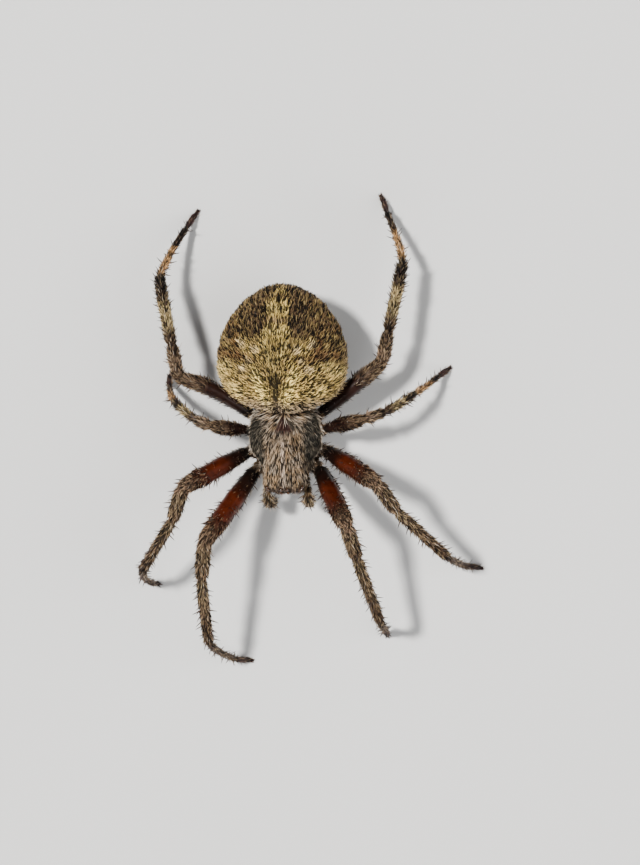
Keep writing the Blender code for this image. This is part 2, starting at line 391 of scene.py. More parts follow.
class Finish(Graph):
    """A material's nodes. Places are in millimetres, on the skin itself or at each hair's root."""

    def __init__(self, name, constants, at_root=False):
        self.material = bpy.data.materials.new(name)
        self.material.use_nodes = True
        super().__init__(self.material.node_tree)
        self.shader = self.tree.nodes["Principled BSDF"]
        for socket, value in constants.items():
            self.shader.inputs[socket].default_value = value
        if at_root:
            self.place = self.attribute("root")
        else:
            spot = self.node("ShaderNodeTexCoord", output="Object")
            self.place = self.scaled(spot, 1 / MM)

    def attribute(self, name, output="Vector"):
        return self.node("ShaderNodeAttribute", {"attribute_name": name}, output=output)

    def split(self, vector):
        made = self.node("ShaderNodeSeparateXYZ", sockets={0: vector})
        return made[0], made[1], made[2]

    def noise(self, size, detail=2.0, stretch=None):
        """Soft random values around 0.5, in patches of about this many millimetres."""
        place = self.vector("MULTIPLY", self.place, stretch) if stretch else self.place
        sockets = {"Vector": place, "Scale": 1 / size, "Detail": detail}
        return self.node("ShaderNodeTexNoise", sockets=sockets)

    def rise(self, value, low, high):
        """0 below low, 1 above high, smooth between. Low above high turns it round."""
        return self.node(
            "ShaderNodeMapRange",
            {"interpolation_type": "SMOOTHSTEP"},
            {"Value": value, "From Min": low, "From Max": high},
        )

    def hump(self, value, middle, reach):
        """1 at the middle, 0 a reach away."""
        return self.rise(abs(value - middle), reach, reach * 0.35)

    def gap_to_line(self, place, start, end):
        """The distance from a place to the line between two fixed places."""
        span = np.subtract(end, start)
        away = self.vector("SUBTRACT", place, tuple(start))
        share = self.node(
            "ShaderNodeMath",
            {"operation": "MULTIPLY", "use_clamp": True},
            {0: self.vector("DOT_PRODUCT", away, tuple(span)), 1: 1 / float(span @ span)},
        )
        return self.vector("DISTANCE", away, self.scaled(tuple(span), share))

    def mix(self, share, base, over):
        return self.node(
            "ShaderNodeMix", {"data_type": "RGBA"}, {0: share, 6: base, 7: over}, output=2
        )

    def ramp(self, value, stops):
        return self.node("ShaderNodeValToRGB", {"stops": stops}, {0: value})

    def bump(self, height, strength, distance):
        return self.node(
            "ShaderNodeBump",
            sockets={"Height": height, "Strength": strength, "Distance": distance * MM},
        )

    def set(self, **sockets):
        for name, value in sockets.items():
            self.feed(self.shader.inputs[name.replace("_", " ").title()], value)
        return self.material


# ---------------------------------------------------------------- markings of skin and coat

GOLD = (0.63, 0.475, 0.18)
PALE_GOLD = (0.86, 0.70, 0.30)
DULL_GOLD = (0.39, 0.29, 0.12)
STRAW = (0.70, 0.56, 0.245)
CREAM = (0.80, 0.64, 0.39)
TAN = (0.36, 0.25, 0.15)
ROSY_GREY = (0.46, 0.36, 0.28)
RUST = (0.17, 0.080, 0.040)
BROWN = (0.16, 0.10, 0.055)
UMBER = (0.060, 0.034, 0.024)
DEEP_BROWN = (0.125, 0.080, 0.047)
BLACK = (0.012, 0.009, 0.008)
MAHOGANY = (0.074, 0.0155, 0.0062)
GREY = (0.32, 0.26, 0.20)
LEG_GREY = (0.28, 0.21, 0.125)
LEG_TAN = (0.27, 0.175, 0.105)
PALE = (0.74, 0.66, 0.56)
PALE_STRAW = (0.60, 0.47, 0.24)
OLIVE = (0.070, 0.066, 0.052)
OXBLOOD = (0.075, 0.018, 0.012)
WEDGE_BROWN = (0.13, 0.10, 0.05)
# the pale middle streak of the head: partly pale hair, partly a painted highlight
PALE_STREAK_AND_HIGHLIGHT = (0.62, 0.50, 0.40)
FACE_BROWN = (0.085, 0.045, 0.030)
# the brightest hairs of each coat
GOLD_GLINT = (0.56, 0.44, 0.20)
GREY_GLINT = (0.54, 0.46, 0.375)
TAN_GLINT = (0.52, 0.41, 0.25)

# the band down the middle of the abdomen: place along it, half its width in mm, colour
MEDIAN_BAND = [
    (0.34, 0.05, DULL_GOLD),
    (0.44, 0.55, DULL_GOLD),
    (0.52, 0.88, DULL_GOLD),
    (0.59, 0.98, GOLD),
    (0.64, 0.98, STRAW),
    (0.68, 0.90, GOLD),
    (0.71, 0.62, TAN),
    (0.75, 0.82, GOLD),
    (0.80, 0.88, STRAW),
    (0.85, 0.78, GOLD),
    (0.89, 0.36, BROWN),
    (0.93, 0.44, GOLD),
    (0.98, 0.12, BROWN),
]
# mirrored strokes: from and to (across in mm, share along), reach in mm, strength, colour
FLANK_STROKES = [
    ((3.1, 0.66), (4.1, 0.66), 0.60, 0.35, RUST),
    ((3.1, 0.45), (4.2, 0.46), 0.55, 0.60, RUST),
    ((2.95, 0.57), (2.85, 0.48), 0.60, 0.80, RUST),
    ((1.5, 0.43), (2.8, 0.43), 0.42, 0.75, RUST),
    ((1.60, 0.645), (1.65, 0.74), 0.90, 0.92, DEEP_BROWN),
    ((1.55, 0.74), (1.25, 0.90), 0.75, 0.82, DEEP_BROWN),
    ((2.55, 0.64), (2.50, 0.76), 0.70, 0.50, DEEP_BROWN),
    ((2.1, 0.20), (2.9, 0.26), 0.60, 0.80, DULL_GOLD),
    ((1.9, 0.34), (3.1, 0.36), 0.45, 0.70, DULL_GOLD),
    ((3.6, 0.26), (4.1, 0.30), 0.50, 0.60, DULL_GOLD),
]
PALE_STROKES = [
    ((1.35, 0.465), (2.6, 0.555), 0.52, 0.80, GOLD),
    ((1.42, 0.485), (1.60, 0.495), 0.36, 0.90, CREAM),
    ((2.45, 0.530), (2.62, 0.550), 0.36, 0.90, CREAM),
    ((1.85, 0.405), (1.95, 0.410), 0.36, 0.70, CREAM),
    ((2.25, 0.350), (2.45, 0.345), 0.40, 0.90, CREAM),
    ((2.6, 0.16), (3.2, 0.20), 0.50, 0.70, STRAW),
    ((3.7, 0.36), (4.2, 0.34), 0.70, 0.60, STRAW),
    ((1.38, 0.31), (0.58, 0.07), 0.58, 0.95, PALE_GOLD),
]


def abdomen_markings(f):
    """Gold in front, brown behind, with a pale lobed band and two pale arms between: the folium."""
    away = f.vector("SUBTRACT", f.place, tuple(ABDOMEN_FRONT))
    across = f.vector("DOT_PRODUCT", away, tuple(ABDOMEN_ACROSS))
    along = f.vector("DOT_PRODUCT", away, tuple(ABDOMEN_ALONG)) / ABDOMEN_LENGTH
    height = f.split(away)[2]
    blot = f.noise(1.1)
    fleck = f.noise(0.28, 1)
    ripple = f.noise(0.5, stretch=(0.55, 1.5, 1.0))
    side = abs(across)
    flat = f.node("ShaderNodeCombineXYZ", sockets={0: side, 1: along * ABDOMEN_LENGTH, 2: 0.0})

    def painted(colour, strokes):
        """The colour under soft strokes, each mirrored to the other side."""
        for start, end, reach, share, shade in strokes:
            ends = [(x, y * ABDOMEN_LENGTH, 0.0) for x, y in (start, end)]
            gap = f.gap_to_line(flat, *ends) + (fleck - 0.5) * 0.5
            colour = f.mix(f.rise(gap, reach, reach * 0.25) * share, colour, shade)
        return colour

    colour = f.mix(f.rise(blot, 0.34, 0.54), GOLD, DULL_GOLD)
    colour = f.mix(f.rise(fleck, 0.50, 0.66) * 0.45, colour, TAN)
    mottled = f.mix(f.rise(ripple, 0.46, 0.62) * 0.85, BROWN, DULL_GOLD)
    rear = f.rise(along + (blot - 0.5) * 0.16, 0.50, 0.60)
    flank = f.rise(side + (blot - 0.5) * 1.5, 2.3, 3.4) * f.hump(along, 0.49, 0.15)
    colour = f.mix(rear.math("MAXIMUM", rear, flank * 0.8), colour, mottled)
    colour = painted(colour, FLANK_STROKES)
    colour = f.mix(f.rise(along + (ripple - 0.5) * 0.1, 0.86, 0.97) * 0.6, colour, UMBER)
    half = f.ramp(along, [(share, (width,) * 3) for share, width, _ in MEDIAN_BAND])
    inside = side - half + (fleck - 0.5) * 0.4
    band = f.rise(inside, 0.12, -0.12) * f.rise(along, 0.34, 0.40)
    band_colour = f.ramp(along, [(share, shade) for share, _, shade in MEDIAN_BAND])
    colour = f.mix(band * 0.92, colour, band_colour)
    margin = f.hump(inside, -0.16, 0.2) * f.rise(along, 0.34, 0.38) * f.rise(along, 0.58, 0.54)
    colour = f.mix(margin * 0.8, colour, STRAW)
    colour = painted(colour, PALE_STROKES)
    colour = f.scaled(colour, 0.91 + 0.42 * f.rise(along, 0.42, 0.25))
    wedge = f.rise(side - along * 1.7 + (fleck - 0.5) * 0.3, 0.06, -0.14)
    colour = f.mix(wedge * f.rise(along, 0.36, 0.28) * 0.82, colour, WEDGE_BROWN)
    low = f.rise(height + (blot - 0.5) * 1.2, 1.3, -0.6) * f.rise(along, 0.60, 0.35) * 0.6
    colour = f.mix(low, colour, ROSY_GREY)
    colour = f.mix(f.rise(along, 0.17, 0.04) * 0.8, colour, ROSY_GREY)
    under = f.rise(height + (blot - 0.5) * 1.2, -1.6, -2.6)
    colour = f.mix(under * 0.92, colour, UMBER)
    pale_spots = under * f.hump(along, 0.52, 0.13) * f.hump(side, 1.0, 0.5)
    return f.mix(pale_spots, colour, CREAM)


def front_markings(f):
    """Tan, with dark sides, a pale edge, a pale middle streak that is partly a painted highlight on
    the ridge, and an oxblood wedge behind.
    """
    across, along, height = f.split(f.vector("SUBTRACT", f.place, tuple(MIDDLE)))
    blot = f.noise(0.7)
    side = abs(across)
    wide = side + (blot - 0.5) * 0.5
    colour = f.mix(f.rise(blot, 0.38, 0.62), GREY, TAN)
    sides = f.rise(wide, 1.15, 1.75) * f.rise(along, -2.6, -1.2)
    colour = f.mix(sides * 0.92, colour, OLIVE)
    # the pale middle streak on top of the head: partly pale hair, partly a painted highlight along
    # the ridge
    streak = f.rise(side, 0.24, 0.08) * f.rise(along, 0.5, -0.1) * f.rise(height, 4.4, 5.2)
    colour = f.mix(streak * 0.85, colour, PALE_STREAK_AND_HIGHLIGHT)
    eye_patch = f.rise(along, -3.25, -3.65) * f.rise(side, 1.8, 1.2)
    colour = f.mix(eye_patch * 0.8, colour, FACE_BROWN)
    wedge = f.rise(side + (along - 0.7) * 0.50, 0.78, 0.56) * f.rise(along, 0.60, 0.85)
    colour = f.mix(wedge * 0.95, colour, OXBLOOD)
    rim = f.rise(side, 1.75, 2.1) * f.hump(height, 4.24, 0.26)
    colour = f.mix(rim * 0.85, colour, PALE)
    colour = f.scaled(colour, 1.0 - 0.22 * f.rise(along, 0.4, 1.4))
    under = f.rise(height, 3.85, 3.5)
    colour = f.mix(under * 0.9, colour, UMBER)
    breast = under * f.rise(side, 0.5, 0.15) * f.hump(along, 0.2, 1.9)
    return f.mix(breast * 0.7, colour, TAN)


# a leg's colours, from the coxa's root at 0 to the tip at 1
FRONT_LEG = [
    (0.00, UMBER),
    (0.155, (0.15, 0.105, 0.070)),
    (0.175, BLACK),
    (0.215, (0.022, 0.009, 0.006)),
    (0.240, MAHOGANY),
    (0.285, MAHOGANY),
    (0.308, (0.10, 0.045, 0.028)),
    (0.322, (0.26, 0.175, 0.120)),
    (0.345, (0.26, 0.175, 0.120)),
    (0.380, (0.205, 0.150, 0.092)),
    (0.485, (0.185, 0.120, 0.076)),
    (0.505, (0.215, 0.160, 0.096)),
    (0.580, (0.200, 0.135, 0.085)),
    (0.625, (0.145, 0.092, 0.055)),
    (0.665, UMBER),
    (0.700, (0.18, 0.125, 0.085)),
    (0.770, (0.18, 0.125, 0.088)),
    (0.825, (0.12, 0.08, 0.05)),
    (0.860, (0.16, 0.105, 0.085)),
    (0.930, (0.10, 0.063, 0.055)),
    (0.970, (0.045, 0.028, 0.026)),
    (1.00, (0.030, 0.018, 0.016)),
]
REAR_LEG = [
    (0.00, UMBER),
    (0.160, LEG_TAN),
    (0.175, BLACK),
    (0.205, (0.026, 0.013, 0.010)),
    (0.270, (0.030, 0.014, 0.011)),
    (0.295, (0.15, 0.10, 0.068)),
    (0.335, (0.19, 0.13, 0.085)),
    (0.370, (0.32, 0.225, 0.16)),
    (0.440, (0.20, 0.14, 0.092)),
    (0.500, UMBER),
    (0.522, (0.12, 0.08, 0.05)),
    (0.540, (0.48, 0.38, 0.21)),
    (0.592, (0.50, 0.39, 0.21)),
    (0.608, (0.055, 0.035, 0.023)),
    (0.664, BLACK),
    (0.680, (0.60, 0.37, 0.19)),
    (0.748, (0.52, 0.31, 0.15)),
    (0.768, UMBER),
    (0.825, BLACK),
    (0.845, (0.11, 0.055, 0.05)),
    (1.00, (0.03, 0.015, 0.015)),
]


def limb_markings(f):
    """Bands along each leg. A palp is flecked brown and grey, and darker at its tip."""
    along, _, number = f.split(f.attribute("limb"))
    fleck = f.noise(0.45)
    place = along / 6 + (fleck - 0.5) * 0.018
    colour = f.mix(f.rise(number, 2.4, 2.6), f.ramp(place, FRONT_LEG), f.ramp(place, REAR_LEG))
    palp = f.mix(f.rise(fleck, 0.4, 0.6), BROWN, LEG_GREY)
    palp = f.mix(f.rise(along, 5.2, 6.0) * 0.7, palp, UMBER)
    return f.mix(f.rise(number, 4.4, 4.6), colour, palp)


def skin_finish(name, markings, darker):
    """Skin between the hairs, pitted where each hair stands. Its colour is darkened below the
    coat's as painted shade between the hairs, and the fold noise makes it darker where its bump is
    low.
    """
    f = Finish(name, {"Roughness": 0.6, "Specular IOR Level": 0.2})
    colour = markings(f)
    pits = f.noise(0.09, 1)
    folds = f.noise(0.35, 3)
    # painted shade: the skin is darkened by the given factor, as the gaps between the hairs lie in
    # shade; it is also darker where the fold noise and its bump are low
    colour = f.scaled(colour, darker * (0.6 + 0.8 * folds))
    height = pits * 0.5 + folds
    return f.set(base_color=colour, normal=f.bump(height, 0.6, 0.05))


def limb_skin():
    """Hairy skin, darkened as painted shade between the hairs, and bare polished shell on the top
    and sides of the thighs.
    """
    f = Finish("limb_skin", {"Specular IOR Level": 0.2})
    along, back, _ = f.split(f.attribute("limb"))
    colour = limb_markings(f)
    pits = f.noise(0.08, 1)
    streaks = f.noise(0.5, 3)
    bare = f.hump(along, 1.42, 0.52) * f.rise(back, -0.75, -0.25)
    # painted shade: the hairy skin is a darker copy of the colour, for the shade between its hairs;
    # the bare shell keeps the fuller colour
    shaded_hairy_skin = f.scaled(colour, 0.2 + 0.4 * streaks)
    bare_shell_colour = f.scaled(colour, 0.4 + 1.2 * streaks)
    colour = f.mix(bare, shaded_hairy_skin, bare_shell_colour)
    rough = 0.62 - bare * 0.28 + (pits - 0.5) * 0.12
    height = pits * (0.8 - bare * 0.6) + streaks * 0.5
    return f.set(
        base_color=colour,
        roughness=rough,
        coat_weight=bare * 0.06,
        normal=f.bump(height, 0.5, 0.04),
    )


def coat_finish(name, markings, bright, share, clumped=0.6):
    """Hair coloured by the marking at its root: most dark, some lighter, a share of them bright.
    Each hair is darker towards its root, a painted shade deep in the coat.
    """
    f = Finish(name, {"Roughness": 0.5, "Specular IOR Level": 0.3}, at_root=True)
    tint = f.attribute("tint", "Fac")
    grow = f.attribute("grow", "Fac")
    middle = 0.5 + clumped / 2
    mixed = tint * (1 - clumped) + f.noise(0.18, 1) * (2 * clumped)
    light = f.rise(mixed, middle - 0.05, middle + 0.05)
    colour = f.mix(f.rise(tint, 0.72, 0.95) * share, markings(f), bright)
    # painted shade: the colour falls off towards each hair's root, where the coat lies in shade
    return f.set(base_color=f.scaled(colour, (0.07 + 1.6 * light) * (0.35 + 1.0 * grow)))


def plain_hair(name, root, tip, roughness=0.45):
    f = Finish(name, {"Roughness": roughness}, at_root=True)
    tint = f.attribute("tint", "Fac")
    grow = f.attribute("grow", "Fac")
    colour = f.mix(f.rise(grow + (tint - 0.5) * 0.4, 0.1, 0.9), root, tip)
    return f.set(base_color=f.scaled(colour, 0.7 + 0.6 * tint))


EYE_BROWNS = (0.016, 0.008, 0.005), (0.085, 0.040, 0.020)
JAW_BROWNS = (0.030, 0.009, 0.005), (0.065, 0.026, 0.013)
HORN_BROWNS = (0.014, 0.006, 0.004), (0.09, 0.022, 0.010)
SPINE_BROWNS = (0.10, 0.06, 0.045), (0.012, 0.008, 0.007)
PAPER_GREYS = (0.60, 0.60, 0.595), (0.64, 0.64, 0.635)


def eye_finish():
    f = Finish("eye_glass", {"Roughness": 0.12, "IOR": 1.75})
    haze = f.noise(0.12, 1)
    return f.set(base_color=f.mix(f.rise(haze, 0.35, 0.65), *EYE_BROWNS))


def jaw_finish():
    f = Finish("jaw_shell", {})
    height = f.split(f.place)[2]
    blot = f.noise(0.4, 3)
    colour = f.mix(f.rise(height + blot * 0.8, 2.4, 4.4), *JAW_BROWNS)
    grain = f.noise(0.06, 1)
    return f.set(
        base_color=f.scaled(colour, 0.6 + 0.8 * blot),
        roughness=0.26 + 0.2 * grain,
        coat_weight=0.25 + 0.3 * blot,
        normal=f.bump(grain + blot, 0.35, 0.03),
    )


def horn_finish():
    """Fangs and claws."""
    f = Finish("horn", {"Roughness": 0.22})
    blot = f.noise(0.2)
    return f.set(base_color=f.mix(blot, *HORN_BROWNS), coat_weight=0.3 + 0.4 * blot)


def floor_finish():
    f = Finish("floor_paper", {"Roughness": 0.85})
    tone = f.noise(30.0, 3)
    tooth = f.noise(0.5)
    return f.set(base_color=f.mix(tone, *PAPER_GREYS), normal=f.bump(tooth, 0.15, 0.02))


# ---------------------------------------------------------------- where the eyes are

MEDIAN_EYES = [f"eye_median_{row}_{side}" for row in ("front", "rear") for side in SIDES]
LATERAL_EYES = [f"eyes_lateral_{side}" for side in SIDES]
LATERAL_STEP = np.array([0.09, 0.17, 0.04])


def eye_places():
    """The middle and the radius of each of the eight eyes."""
    found = []
    for name in MEDIAN_EYES:
        low, high = corner(name, 0), corner(name, 1)
        radius = (high[0] - low[0]) / 2
        middle = np.array([(low[0] + high[0]) / 2, low[1] + radius, high[2] - radius])
        found.append((middle, radius))
    for name, sign in zip(LATERAL_EYES, SIDES.values()):
        low, high = corner(name, 0), corner(name, 1)
        radius = (high[1] - low[1] - LATERAL_STEP[1]) / 2
        outer = high[0] - radius if sign > 0 else low[0] + radius
        rear = np.array([outer, high[1] - radius, high[2] - radius])
        found.append((rear, radius))
        found.append((rear - LATERAL_STEP * np.array([sign, 1, 1]), radius))
    return found


EYES = eye_places()

# ---------------------------------------------------------------- the skin

SKIN_VOXEL = 0.118
SKIN_ROUNDS = 9
SWELL = 0.05
FLESH = [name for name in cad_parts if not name.startswith(("eye", "chelicera"))]

# Mouth plates under the head: middle from the body's middle line and floor, half sizes
MOUTH_PLATES = [
    ((0.52, -2.60, 3.05), (0.40, 0.62, 0.26)),
    ((-0.52, -2.60, 3.05), (0.40, 0.62, 0.26)),
    ((0.0, -2.05, 3.02), (0.36, 0.36, 0.22)),
]


def group_of(node):
    return node.rsplit("_", 1)[0] if node.startswith("leg") else node


def ball(middle, sizes, segments=20, rings=14):
    shape = bmesh.new()
    bmesh.ops.create_uvsphere(shape, u_segments=segments, v_segments=rings, radius=1)
    points = np.array([v.co for v in shape.verts]) * np.array(sizes) + middle
    faces = [[v.index for v in face.verts] for face in shape.faces]
    shape.free()
    return points, faces


def flesh():
    """All of the flesh as one closed surface, and for each of its points the part it belongs to."""
    points, faces, parts, count = [], [], [], 0
    for name in FLESH:
        shell, triangles = solid(name)
        points.append(grown(shell, triangles, SWELL))
        faces.extend((triangles + count).tolist())
        parts.extend([GROUPS.index(group_of(name))] * len(triangles))
        count += len(shell)
    tree = BVHTree.FromPolygons(np.concatenate(points).tolist(), faces)
    for middle, sizes in MOUTH_PLATES:
        shell, squares = ball(MIDDLE + middle, sizes)
        points.append(shell)
        faces.extend([[i + count for i in square] for square in squares])
        count += len(shell)
    mesh = remeshed("spider_skin", np.concatenate(points), faces, SKIN_VOXEL)
    edges = read(mesh.edges, "vertices", 2, int)
    surface = relaxed(read(mesh.vertices, "co"), edges, SKIN_ROUNDS)
    owner = np.array([parts[tree.find_nearest(point)[2]] for point in surface.tolist()])
    return mesh, surface, edges, owner


# how deep the skin lies under the coat's tips, in mm: places along a leg, and the depths there
LEG_PLACES = [0, 1.0, 1.2, 1.75, 2.0, 3.0, 4.0, 4.2, 5.0, 6.0]
LEG_DEPTHS = [0.08, 0.05, 0.03, 0.03, 0.11, 0.13, 0.12, 0.07, 0.06, 0.05]
PALP_DEPTH = 0.08
BODY_DEPTHS = {"abdomen": 0.17, "cephalothorax": 0.10}
DEPTH_ROUNDS = 14


def line_distance(x, y, start, end):
    """Distance in plan from a line between two points."""
    start, end = np.array(start), np.array(end)
    span = end - start
    away = np.stack([x, y], axis=1) - start
    share = np.clip(away @ span / (span @ span), 0, 1)
    return length(away - share[:, None] * span)[:, 0]


# the faint grooves that run out from the pit behind the head: aside, along
GROOVE_ENDS = [(2.5, -0.35), (2.6, 0.75), (2.1, 1.8)]


def head_relief(places, normals):
    """How far the front body's skin stands out: grooves, the pit behind the head, eye mounds."""
    x, y, _ = body_place(places, "cephalothorax")
    top = step(normals[:, 2], 0.1, 0.5)
    side = np.abs(x)
    relief = -0.24 * falloff(x, 0.17) * falloff(y - 0.75, 0.45) * top
    relief -= 0.13 * falloff(line_distance(side, y, (0.15, 0.45), (1.95, -1.75)), 0.17) * top
    for end in GROOVE_ENDS:
        relief -= 0.06 * falloff(line_distance(side, y, (0.35, 0.7), end), 0.16) * top
    relief += 0.05 * falloff(x, 0.5) * falloff(y + 1.6, 1.2) * top
    for middle, _ in EYES:
        relief += 0.03 * falloff(length(places - middle)[:, 0], 0.34)
    breast_edge = length(np.stack([x / 1.25, (y + 0.1) / 1.95], axis=1))[:, 0] - 1
    return relief - 0.07 * falloff(breast_edge, 0.1) * step(-normals[:, 2], 0.2, 0.6)


# pairs of dimples on the abdomen: share along it, mm from its middle line
DIMPLES = [(0.26, 1.15), (0.45, 1.30), (0.62, 1.05), (0.77, 0.80)]


def abdomen_relief(places, normals):
    """Paired dimples on the back, a cross fold below, and faint folds down the flanks."""
    across, along, _ = body_place(places, "abdomen")
    top = step(normals[:, 2], 0.2, 0.6)
    relief = np.zeros(len(places))
    for share, aside in DIMPLES:
        gap = np.hypot(np.abs(across) - aside, (along - share) * ABDOMEN_LENGTH)
        relief -= 0.14 * falloff(gap, 0.24) * top
    below = step(-normals[:, 2], 0.1, 0.6)
    relief -= 0.16 * falloff((along - 0.33) * ABDOMEN_LENGTH + 0.10 * across**2, 0.16) * below
    relief += 0.12 * falloff(across, 0.7) * falloff((along - 0.27) * ABDOMEN_LENGTH, 0.5) * below
    flank = 1 - np.abs(normals[:, 2])
    relief += 0.03 * np.sin(along * 42 + across) * flank * step(along, 0.2, 0.5)
    return relief


def limb_relief(limb, places):
    """Thin waists at the joints, on a leg with a rounded lip on each side."""
    along, facing, _, _ = limb_place(places, limb)
    if limb in PALPS:
        return -0.06 * sum(falloff(along - joint, 0.13) for joint in (0.9, 2.0, 2.7, 3.6))
    line = LINES[limb]
    spans = length(line[1:] - line[:-1])[:, 0]
    joint = np.clip(np.round(along), 1, 5)
    gap = np.abs(along - joint) * spans[np.minimum(along.astype(int), 5)]
    relief = -0.085 * falloff(gap, 0.13) + 0.035 * falloff(gap - 0.34, 0.16)
    thigh = falloff(along - 1.5, 0.35)
    return relief - 0.03 * thigh * step(facing, 0.3, 0.9)


def make_skin():
    mesh, surface, edges, owner = flesh()
    set_points(mesh, surface)
    normals = read(mesh.vertices, "normal")
    depth = np.zeros(len(surface))
    relief = np.zeros(len(surface))
    limb = np.zeros((len(surface), 3))
    for i, group in enumerate(GROUPS):
        own = owner == i
        if group in BODY_DEPTHS:
            depth[own] = BODY_DEPTHS[group]
            shaped = abdomen_relief if group == "abdomen" else head_relief
            relief[own] = shaped(surface[own], normals[own])
            continue
        along, facing, _, _ = limb_place(surface[own], group)
        depth[own] = PALP_DEPTH if group in PALPS else np.interp(along, LEG_PLACES, LEG_DEPTHS)
        relief[own] = limb_relief(group, surface[own])
        limb[own] = np.stack([along, facing, np.full(own.sum(), number_of(group))], axis=1)
    depth = averaged(depth, edges, DEPTH_ROUNDS)
    inset = averaged(relief, edges, 1) - depth - SWELL
    surface = surface + normals * inset[:, None]
    surface = averaged(surface, edges, 1, 0.4)
    surface[:, 2] = np.maximum(surface[:, 2], 0.0)
    set_points(mesh, surface)
    write_attribute(mesh, "limb", limb)
    return mesh, surface, read(mesh.vertices, "normal"), owner


skin_mesh, skin_points, skin_normals, skin_owner = make_skin()
skin = shown("skin", skin_mesh)
# each skin's number is how far it is darkened: a painted shade between its hairs
for skin_material in (
    skin_finish("abdomen_skin", abdomen_markings, 0.20),
    skin_finish("front_body_skin", front_markings, 0.35),
    limb_skin(),
):
    skin_mesh.materials.append(skin_material)
LIMB_FINISH = len(skin_mesh.materials) - 1
first_corners = read(skin_mesh.polygons, "loop_start", 1, int)
first_owner = skin_owner[read(skin_mesh.loops, "vertex_index", 1, int)[first_corners]]
skin_mesh.polygons.foreach_set("material_index", np.minimum(first_owner, LIMB_FINISH))
skin_mesh.shade_smooth()

# ---------------------------------------------------------------- the coat


HAIR_INPUTS = {
    "Float": (
        "Most per square mm", "Spacing", "Slenderness", "Bend", "Stray", "Twist", "Uneven length",
    ),
    "Int": ("Joints", "Seed"),
    "Material": ("Finish",),
}
HAIR_SIDES = 3
USUAL_HAIR = {"Bend": 0.12, "Stray": 0.18, "Twist": 0.8, "Uneven length": 0.28, "Joints": 2}


def strands(most, spacing, slenderness, seed, **changes):
    """Hair settings: hairs to a square mm, least gap in mm, thickness over length."""
    given = {"Most per square mm": most, "Spacing": spacing, "Slenderness": slenderness}
    changes = {name.title(): value for name, value in changes.items()}
    return {**USUAL_HAIR, **given, "Seed": seed, **changes}


